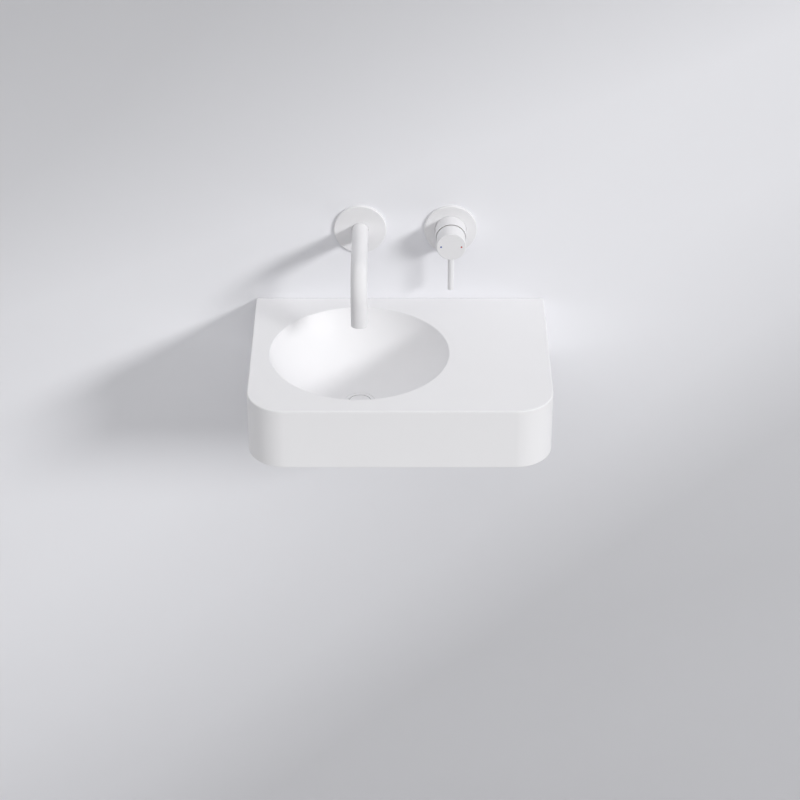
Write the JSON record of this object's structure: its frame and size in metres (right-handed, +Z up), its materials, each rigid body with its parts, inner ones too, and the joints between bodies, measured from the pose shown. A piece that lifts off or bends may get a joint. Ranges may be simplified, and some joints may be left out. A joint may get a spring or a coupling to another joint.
{
  "type": "wall-hung washbasin",
  "caption": "Rectangular wall-hung washbasin with rounded front corners, a round bowl at one side and a flat deck, with a wall spout, a lever mixer, a waste and a trap.",
  "frame": {"origin": "midway between the two wall bolts, on the face of the wall", "axes": "+X to the right as seen from the front, +Y into the wall, +Z up"},
  "size_m": [0.4, 0.365, 0.3607],
  "materials": {
    "cast_white": "matt cast solid surface",
    "matt_white_metal": "matt white coating",
    "plastic_white": "satin",
    "plastic_grey": "satin",
    "rubber_black": "matt",
    "steel": "zinc plated",
    "stainless": "brushed",
    "brass": "machined",
    "copper": "drawn",
    "disc_ceramic": "lapped",
    "hot_red": "enamel",
    "cold_blue": "enamel"
  },
  "bodies": {
    "root": {"basin": "cast_white", "wall_bolts": "steel", "bolt_bushes": "plastic_white", "bolt_washers": "steel", "bolt_nuts": "steel", "waste_body": "matt_white_metal", "flange_seal": "rubber_black", "waste_seal": "rubber_black", "waste_nut": "plastic_white", "elbow_nut": "plastic_white", "elbow_seal": "rubber_black", "waste_elbow": "plastic_white", "pipe_nuts": "plastic_white", "pipe_seals": "rubber_black", "trap_body": "plastic_white", "cup_seal": "rubber_black", "trap_cup": "plastic_white", "wall_pipe": "plastic_white", "wall_rosette": "plastic_white", "spout_plate": "matt_white_metal", "spout_plate_seal": "rubber_black", "spout_plate_oring": "rubber_black", "spout_tube": "matt_white_metal", "spout_nipple": "brass", "nipple_orings": "rubber_black", "spout_screw": "stainless", "aerator_housing": "matt_white_metal", "aerator_insert": "plastic_grey", "spout_elbow": "brass", "link_pipe": "copper", "mixer_body": "brass", "mixer_plate": "matt_white_metal", "mixer_plate_seal": "rubber_black", "sleeve_oring": "rubber_black", "mixer_sleeve": "matt_white_metal", "cartridge_base": "plastic_white", "cartridge_seals": "rubber_black", "cartridge_housing": "plastic_grey", "retaining_nut": "brass", "fixed_disc": "disc_ceramic"},
    "strainer": {"waste_strainer": "matt_white_metal"},
    "turning": {"turret": "plastic_white", "pivot_pin": "stainless"},
    "sliding_disc": {"moving_disc": "disc_ceramic", "disc_driver": "plastic_grey"},
    "handle": {"spindle": "brass", "handle_cap": "matt_white_metal", "lever_pin": "matt_white_metal", "hot_mark": "hot_red", "cold_mark": "cold_blue"}
  },
  "joints": [
    {"name": "strainer_lift", "type": "slide", "parent": "root", "child": "strainer", "axis": [0, 0, 1], "range_m": [0, 0.03]},
    {"name": "temperature_turn", "type": "hinge", "parent": "root", "child": "turning", "pos_m": [0.0692, -0.032, 0.1516], "axis": [0, -1, 0], "range_deg": [-50, 50]},
    {"name": "flow_tilt", "type": "hinge", "parent": "turning", "child": "handle", "pos_m": [0.0692, -0.032, 0.1516], "axis": [-1, 0, 0], "range_deg": [0, 22]},
    {"name": "disc_slide", "type": "slide", "parent": "turning", "child": "sliding_disc", "axis": [0, 0, -1], "range_m": [0, 0.0045]}
  ],
  "couplings": [
    {"joint": "disc_slide", "follows": "flow_tilt", "m_per_rad": 0.011317}
  ]
}
